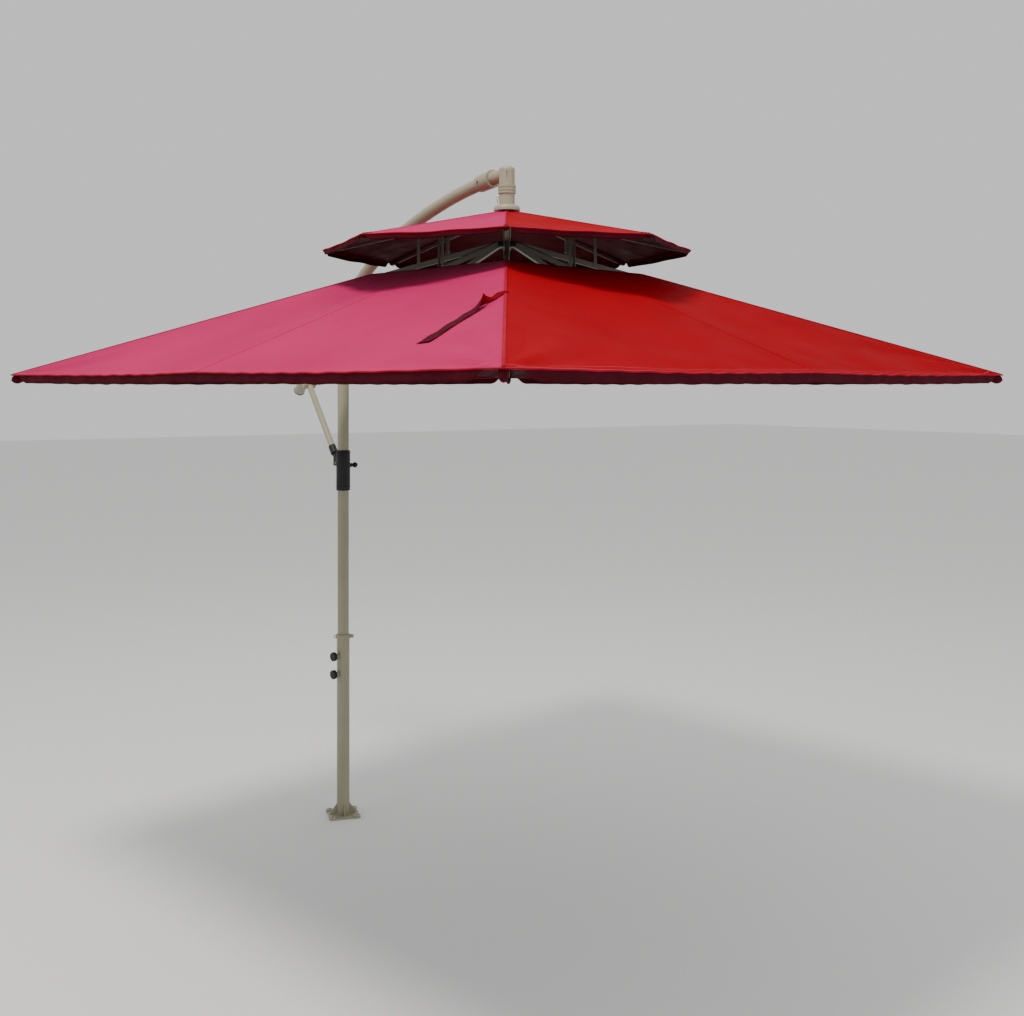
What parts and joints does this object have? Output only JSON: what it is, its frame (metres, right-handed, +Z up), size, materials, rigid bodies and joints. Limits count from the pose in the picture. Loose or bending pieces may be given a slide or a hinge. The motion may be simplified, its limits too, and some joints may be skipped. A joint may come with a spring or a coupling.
{
  "type": "patio umbrella",
  "caption": "Side-post patio umbrella with a bolt-down flange, swivelling mast, curved tilting boom and a square vented two-tier canopy that folds on ribs, struts and a runner.",
  "frame": {"origin": "centre of the base plate's underside, on the mast axis", "axes": "+Z up along the mast, +X from the mast towards the canopy hub (the boom's plane)"},
  "size_m": [3.357, 2.9652, 2.7123],
  "materials": {
    "champagne_metal": "powder coat, satin",
    "black_plastic": "moulded, matte",
    "steel": "zinc plated",
    "grey_plastic": "moulded, matte",
    "frame_paint": "powder coat, satin",
    "canopy_cloth": "woven polyester, red",
    "strap_cloth": "woven polyester, red"
  },
  "bodies": {
    "base": {"base_plate": "champagne_metal", "base_pole": "champagne_metal", "pole_collar": "champagne_metal"},
    "knob_upper": {"clamp_knob_upper": "black_plastic"},
    "knob_lower": {"clamp_knob_lower": "black_plastic"},
    "mast": {"mast_tube": "champagne_metal", "mast_foot_bush": "black_plastic", "mast_yoke": "champagne_metal", "boom_pivot_bolt": "steel"},
    "slider": {"slider_body": "black_plastic"},
    "slider_screw": {"slider_knob": "black_plastic"},
    "boom": {"boom_tube": "champagne_metal", "boom_tail_cap": "grey_plastic", "elbow_fitting": "champagne_metal", "head_bolts": "steel", "neck_collar": "champagne_metal", "neck_tube": "champagne_metal", "finial_cap": "champagne_metal", "centre_tube": "champagne_metal", "top_crown": "black_plastic", "main_hub": "black_plastic", "lower_canopy": "canopy_cloth", "upper_canopy": "canopy_cloth", "tie_strap": "strap_cloth"},
    "brace": {"brace_strut": "champagne_metal", "strut_fork": "champagne_metal", "strut_socket": "black_plastic"},
    "runner": {"runner": "black_plastic"},
    "rib_1": {"rib_1": "frame_paint"},
    "strut_1": {"rib_strut_1": "frame_paint"},
    "link_1": {"rib_link_1": "frame_paint"},
    "top_rib_1": {"upper_rib_1": "frame_paint"},
    "rib_2": {"rib_2": "frame_paint"},
    "strut_2": {"rib_strut_2": "frame_paint"},
    "link_2": {"rib_link_2": "frame_paint"},
    "top_rib_2": {"upper_rib_2": "frame_paint"},
    "rib_3": {"rib_3": "frame_paint"},
    "strut_3": {"rib_strut_3": "frame_paint"},
    "link_3": {"rib_link_3": "frame_paint"},
    "top_rib_3": {"upper_rib_3": "frame_paint"},
    "rib_4": {"rib_4": "frame_paint"},
    "strut_4": {"rib_strut_4": "frame_paint"},
    "link_4": {"rib_link_4": "frame_paint"},
    "top_rib_4": {"upper_rib_4": "frame_paint"},
    "rib_5": {"rib_5": "frame_paint"},
    "strut_5": {"rib_strut_5": "frame_paint"},
    "link_5": {"rib_link_5": "frame_paint"},
    "top_rib_5": {"upper_rib_5": "frame_paint"},
    "rib_6": {"rib_6": "frame_paint"},
    "strut_6": {"rib_strut_6": "frame_paint"},
    "link_6": {"rib_link_6": "frame_paint"},
    "top_rib_6": {"upper_rib_6": "frame_paint"},
    "rib_7": {"rib_7": "frame_paint"},
    "strut_7": {"rib_strut_7": "frame_paint"},
    "link_7": {"rib_link_7": "frame_paint"},
    "top_rib_7": {"upper_rib_7": "frame_paint"},
    "rib_8": {"rib_8": "frame_paint"},
    "strut_8": {"rib_strut_8": "frame_paint"},
    "link_8": {"rib_link_8": "frame_paint"},
    "top_rib_8": {"upper_rib_8": "frame_paint"}
  },
  "joints": [
    {"name": "mast_swivel", "type": "hinge", "parent": "base", "child": "mast", "pos_m": [0, 0, 0.801], "axis": [0, 0, 1], "continuous": true},
    {"name": "clamp_knob_upper_turn", "type": "hinge", "parent": "base", "child": "knob_upper", "pos_m": [0.00695, -0.03939, 0.717], "axis": [0.1736, -0.9848, 0], "continuous": true},
    {"name": "clamp_knob_lower_turn", "type": "hinge", "parent": "base", "child": "knob_lower", "pos_m": [0.00695, -0.03939, 0.637], "axis": [0.1736, -0.9848, 0], "continuous": true},
    {"name": "boom_tilt", "type": "hinge", "parent": "mast", "child": "boom", "pos_m": [0, 0, 2.272], "axis": [0, -1, 0], "range_deg": [0, 20]},
    {"name": "brace_hinge", "type": "hinge", "parent": "boom", "child": "brace", "pos_m": [-0.4081, 0, 1.96781], "axis": [0, -1, 0], "range_deg": [-38.12, 0]},
    {"name": "slider_slide", "type": "slide", "parent": "mast", "child": "slider", "axis": [0, 0, -1], "range_m": [0, 0.20908]},
    {"name": "slider_knob_turn", "type": "hinge", "parent": "slider", "child": "slider_screw", "pos_m": [0, 0.045, 1.56959], "axis": [0, 1, 0], "continuous": true},
    {"name": "canopy_fold", "type": "hinge", "parent": "boom", "child": "rib_1", "pos_m": [1.39774, -0.02451, 2.42935], "axis": [0.5446, 0.8387, 0], "range_deg": [0, 64.53], "deforming": ["lower_canopy", "upper_canopy", "tie_strap"]},
    {"name": "strut_hinge_1", "type": "hinge", "parent": "rib_1", "child": "strut_1", "pos_m": [1.89888, -0.34996, 2.264], "axis": [0.5446, 0.8387, 0], "range_deg": [-129.56, 0]},
    {"name": "upper_rib_hinge_1", "type": "hinge", "parent": "boom", "child": "top_rib_1", "pos_m": [1.39774, -0.02451, 2.53507], "axis": [0.5446, 0.8387, 0], "range_deg": [0, 64.63]},
    {"name": "link_hinge_1", "type": "hinge", "parent": "rib_1", "child": "link_1", "pos_m": [1.62418, -0.17156, 2.35463], "axis": [0.5446, 0.8387, 0], "range_deg": [-64.63, 0]},
    {"name": "rib_hinge_2", "type": "hinge", "parent": "boom", "child": "rib_2", "pos_m": [1.40402, 0.00936, 2.42935], "axis": [-0.2079, 0.9781, 0], "range_deg": [0, 58.53]},
    {"name": "strut_hinge_2", "type": "hinge", "parent": "rib_2", "child": "strut_2", "pos_m": [1.98547, 0.13295, 2.1949], "axis": [-0.2079, 0.9781, 0], "range_deg": [-129.16, 0]},
    {"name": "upper_rib_hinge_2", "type": "hinge", "parent": "boom", "child": "top_rib_2", "pos_m": [1.40402, 0.00936, 2.53507], "axis": [-0.2079, 0.9781, 0], "range_deg": [0, 58.58]},
    {"name": "link_hinge_2", "type": "hinge", "parent": "rib_2", "child": "link_2", "pos_m": [1.66812, 0.06549, 2.32286], "axis": [-0.2079, 0.9781, 0], "range_deg": [-58.58, 0]},
    {"name": "rib_hinge_3", "type": "hinge", "parent": "boom", "child": "rib_3", "pos_m": [1.38451, 0.03774, 2.42935], "axis": [-0.8387, 0.5446, 0], "range_deg": [0, 64.58]},
    {"name": "strut_hinge_3", "type": "hinge", "parent": "rib_3", "child": "strut_3", "pos_m": [1.70995, 0.53888, 2.264], "axis": [-0.8387, 0.5446, 0], "range_deg": [-129.56, 0]},
    {"name": "upper_rib_hinge_3", "type": "hinge", "parent": "boom", "child": "top_rib_3", "pos_m": [1.38451, 0.03774, 2.53507], "axis": [-0.8387, 0.5446, 0], "range_deg": [0, 64.63]},
    {"name": "link_hinge_3", "type": "hinge", "parent": "rib_3", "child": "link_3", "pos_m": [1.53156, 0.26418, 2.35463], "axis": [-0.8387, 0.5446, 0], "range_deg": [-64.63, 0]},
    {"name": "rib_hinge_4", "type": "hinge", "parent": "boom", "child": "rib_4", "pos_m": [1.35064, 0.04402, 2.42935], "axis": [-0.9781, -0.2079, 0], "range_deg": [0, 58.53]},
    {"name": "strut_hinge_4", "type": "hinge", "parent": "rib_4", "child": "strut_4", "pos_m": [1.22705, 0.62547, 2.1949], "axis": [-0.9781, -0.2079, 0], "range_deg": [-129.16, 0]},
    {"name": "upper_rib_hinge_4", "type": "hinge", "parent": "boom", "child": "top_rib_4", "pos_m": [1.35064, 0.04402, 2.53507], "axis": [-0.9781, -0.2079, 0], "range_deg": [0, 58.58]},
    {"name": "link_hinge_4", "type": "hinge", "parent": "rib_4", "child": "link_4", "pos_m": [1.29451, 0.30812, 2.32286], "axis": [-0.9781, -0.2079, 0], "range_deg": [-58.58, 0]},
    {"name": "rib_hinge_5", "type": "hinge", "parent": "boom", "child": "rib_5", "pos_m": [1.32226, 0.02451, 2.42935], "axis": [-0.5446, -0.8387, 0], "range_deg": [0, 64.58]},
    {"name": "strut_hinge_5", "type": "hinge", "parent": "rib_5", "child": "strut_5", "pos_m": [0.82112, 0.34996, 2.264], "axis": [-0.5446, -0.8387, 0], "range_deg": [-129.56, 0]},
    {"name": "upper_rib_hinge_5", "type": "hinge", "parent": "boom", "child": "top_rib_5", "pos_m": [1.32226, 0.02451, 2.53507], "axis": [-0.5446, -0.8387, 0], "range_deg": [0, 64.63]},
    {"name": "link_hinge_5", "type": "hinge", "parent": "rib_5", "child": "link_5", "pos_m": [1.09582, 0.17156, 2.35463], "axis": [-0.5446, -0.8387, 0], "range_deg": [-64.63, 0]},
    {"name": "rib_hinge_6", "type": "hinge", "parent": "boom", "child": "rib_6", "pos_m": [1.31598, -0.00936, 2.42935], "axis": [0.2079, -0.9781, 0], "range_deg": [0, 58.53]},
    {"name": "strut_hinge_6", "type": "hinge", "parent": "rib_6", "child": "strut_6", "pos_m": [0.73454, -0.13295, 2.1949], "axis": [0.2079, -0.9781, 0], "range_deg": [-129.16, 0]},
    {"name": "upper_rib_hinge_6", "type": "hinge", "parent": "boom", "child": "top_rib_6", "pos_m": [1.31598, -0.00936, 2.53507], "axis": [0.2079, -0.9781, 0], "range_deg": [0, 58.58]},
    {"name": "link_hinge_6", "type": "hinge", "parent": "rib_6", "child": "link_6", "pos_m": [1.05188, -0.06549, 2.32286], "axis": [0.2079, -0.9781, 0], "range_deg": [-58.58, 0]},
    {"name": "rib_hinge_7", "type": "hinge", "parent": "boom", "child": "rib_7", "pos_m": [1.33549, -0.03774, 2.42935], "axis": [0.8387, -0.5446, 0], "range_deg": [0, 64.58]},
    {"name": "strut_hinge_7", "type": "hinge", "parent": "rib_7", "child": "strut_7", "pos_m": [1.01005, -0.53888, 2.264], "axis": [0.8387, -0.5446, 0], "range_deg": [-129.56, 0]},
    {"name": "upper_rib_hinge_7", "type": "hinge", "parent": "boom", "child": "top_rib_7", "pos_m": [1.33549, -0.03774, 2.53507], "axis": [0.8387, -0.5446, 0], "range_deg": [0, 64.63]},
    {"name": "link_hinge_7", "type": "hinge", "parent": "rib_7", "child": "link_7", "pos_m": [1.18844, -0.26418, 2.35463], "axis": [0.8387, -0.5446, 0], "range_deg": [-64.63, 0]},
    {"name": "rib_hinge_8", "type": "hinge", "parent": "boom", "child": "rib_8", "pos_m": [1.36936, -0.04402, 2.42935], "axis": [0.9781, 0.2079, 0], "range_deg": [0, 58.53]},
    {"name": "strut_hinge_8", "type": "hinge", "parent": "rib_8", "child": "strut_8", "pos_m": [1.49295, -0.62547, 2.1949], "axis": [0.9781, 0.2079, 0], "range_deg": [-129.16, 0]},
    {"name": "upper_rib_hinge_8", "type": "hinge", "parent": "boom", "child": "top_rib_8", "pos_m": [1.36936, -0.04402, 2.53507], "axis": [0.9781, 0.2079, 0], "range_deg": [0, 58.58]},
    {"name": "link_hinge_8", "type": "hinge", "parent": "rib_8", "child": "link_8", "pos_m": [1.42549, -0.30812, 2.32286], "axis": [0.9781, 0.2079, 0], "range_deg": [-58.58, 0]},
    {"name": "runner_slide", "type": "slide", "parent": "boom", "child": "runner", "axis": [0, 0, -1], "range_m": [0, 0.89246]}
  ],
  "couplings": [
    {"joint": "brace_hinge", "follows": "boom_tilt", "ratio": -1.8685},
    {"joint": "slider_slide", "follows": "boom_tilt", "m_per_rad": 0.59305},
    {"joint": "strut_hinge_1", "follows": "canopy_fold", "ratio": -2},
    {"joint": "upper_rib_hinge_1", "follows": "canopy_fold", "ratio": 1},
    {"joint": "link_hinge_1", "follows": "canopy_fold", "ratio": -1},
    {"joint": "rib_hinge_2", "follows": "canopy_fold", "ratio": 0.90614},
    {"joint": "strut_hinge_2", "follows": "canopy_fold", "ratio": -1.9937},
    {"joint": "upper_rib_hinge_2", "follows": "canopy_fold", "ratio": 0.90614},
    {"joint": "link_hinge_2", "follows": "canopy_fold", "ratio": -0.90614},
    {"joint": "rib_hinge_3", "follows": "canopy_fold", "ratio": 1},
    {"joint": "strut_hinge_3", "follows": "canopy_fold", "ratio": -2},
    {"joint": "upper_rib_hinge_3", "follows": "canopy_fold", "ratio": 1},
    {"joint": "link_hinge_3", "follows": "canopy_fold", "ratio": -1},
    {"joint": "rib_hinge_4", "follows": "canopy_fold", "ratio": 0.90614},
    {"joint": "strut_hinge_4", "follows": "canopy_fold", "ratio": -1.9937},
    {"joint": "upper_rib_hinge_4", "follows": "canopy_fold", "ratio": 0.90614},
    {"joint": "link_hinge_4", "follows": "canopy_fold", "ratio": -0.90614},
    {"joint": "rib_hinge_5", "follows": "canopy_fold", "ratio": 1},
    {"joint": "strut_hinge_5", "follows": "canopy_fold", "ratio": -2},
    {"joint": "upper_rib_hinge_5", "follows": "canopy_fold", "ratio": 1},
    {"joint": "link_hinge_5", "follows": "canopy_fold", "ratio": -1},
    {"joint": "rib_hinge_6", "follows": "canopy_fold", "ratio": 0.90614},
    {"joint": "strut_hinge_6", "follows": "canopy_fold", "ratio": -1.9937},
    {"joint": "upper_rib_hinge_6", "follows": "canopy_fold", "ratio": 0.90614},
    {"joint": "link_hinge_6", "follows": "canopy_fold", "ratio": -0.90614},
    {"joint": "rib_hinge_7", "follows": "canopy_fold", "ratio": 1},
    {"joint": "strut_hinge_7", "follows": "canopy_fold", "ratio": -2},
    {"joint": "upper_rib_hinge_7", "follows": "canopy_fold", "ratio": 1},
    {"joint": "link_hinge_7", "follows": "canopy_fold", "ratio": -1},
    {"joint": "rib_hinge_8", "follows": "canopy_fold", "ratio": 0.90614},
    {"joint": "strut_hinge_8", "follows": "canopy_fold", "ratio": -1.9937},
    {"joint": "upper_rib_hinge_8", "follows": "canopy_fold", "ratio": 0.90614},
    {"joint": "link_hinge_8", "follows": "canopy_fold", "ratio": -0.90614},
    {"joint": "runner_slide", "follows": "canopy_fold", "m_per_rad": 0.79061}
  ]
}
